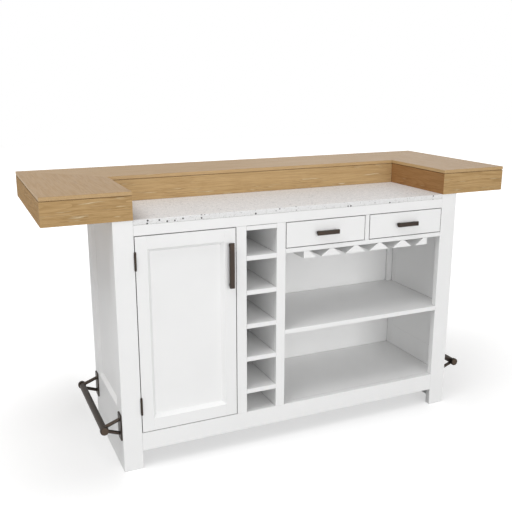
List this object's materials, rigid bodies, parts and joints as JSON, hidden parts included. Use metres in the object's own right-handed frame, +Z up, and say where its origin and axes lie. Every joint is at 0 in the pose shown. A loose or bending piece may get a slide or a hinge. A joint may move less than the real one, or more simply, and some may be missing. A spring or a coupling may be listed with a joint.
{
  "type": "kitchen island unit",
  "caption": "Free-standing unit with a cupboard, bottle rack, drawers, hanging glass rack and open shelves, under a stone worktop and a raised wooden bar top with foot rails.",
  "frame": {"origin": "on the floor, under the middle of the whole unit", "axes": "+X to the right as the server in front of the cupboard sees it, +Y away from the server to the guests' side, +Z up"},
  "size_m": [1.954, 0.712, 1.067],
  "materials": {
    "white_paint": "painted, satin white",
    "oak": "oiled, satin",
    "birch_plywood": "lacquered, satin",
    "dark_bronze": "satin",
    "steel": "satin",
    "stone": "polished, speckled",
    "black_plastic": "matt"
  },
  "bodies": {
    "cabinet": {"left_stile": "white_paint", "right_stile": "white_paint", "top_rail": "white_paint", "base_rail": "white_paint", "door_mullion": "white_paint", "rack_mullion": "white_paint", "drawer_rail": "white_paint", "drawer_divider": "white_paint", "left_side_frame": "white_paint", "right_side_frame": "white_paint", "side_panels": "white_paint", "back_frame": "white_paint", "back_panels": "white_paint", "back_board": "white_paint", "bottom_board": "white_paint", "cupboard_partition": "white_paint", "rack_partition": "white_paint", "drawer_partition": "white_paint", "sub_top": "white_paint", "drawer_deck": "white_paint", "slide_packers": "birch_plywood", "corner_battens": "white_paint", "middle_shelf": "white_paint", "cupboard_shelf": "white_paint", "shelf_pins": "steel", "bottle_rack_top": "white_paint", "bottle_shelves": "white_paint", "glass_rails": "white_paint", "glass_end_rails": "white_paint", "hinge_frame_leaves": "dark_bronze", "hinge_pins": "dark_bronze", "door_catch": "black_plastic", "cabinet_slides": "steel", "stone_top": "stone", "bar_top_left": "oak", "bar_top_back": "oak", "bar_top_right": "oak", "bar_end_aprons": "oak", "bar_outer_aprons": "oak", "bar_inner_aprons": "oak", "bar_back_apron": "oak", "bar_well_apron": "oak", "bar_soffits": "oak", "side_foot_rails": "dark_bronze", "back_foot_rail": "dark_bronze", "rail_caps": "dark_bronze", "rail_brackets": "dark_bronze"},
    "door": {"door_frame": "white_paint", "door_panel": "white_paint", "door_pull": "dark_bronze", "hinge_door_leaves": "dark_bronze", "catch_plate": "steel"},
    "left_drawer": {"left_drawer_front": "white_paint", "left_drawer_box": "birch_plywood", "left_drawer_pull": "dark_bronze", "left_drawer_slides": "steel"},
    "right_drawer": {"right_drawer_front": "white_paint", "right_drawer_box": "birch_plywood", "right_drawer_pull": "dark_bronze", "right_drawer_slides": "steel"}
  },
  "joints": [
    {"name": "door_hinge", "type": "hinge", "parent": "cabinet", "child": "door", "pos_m": [-0.663, -0.3382, 0.5265], "axis": [0, 0, -1], "range_deg": [0, 170]},
    {"name": "left_drawer_slide", "type": "slide", "parent": "cabinet", "child": "left_drawer", "axis": [0, -1, 0], "range_m": [0, 0.3]},
    {"name": "right_drawer_slide", "type": "slide", "parent": "cabinet", "child": "right_drawer", "axis": [0, -1, 0], "range_m": [0, 0.3]}
  ]
}
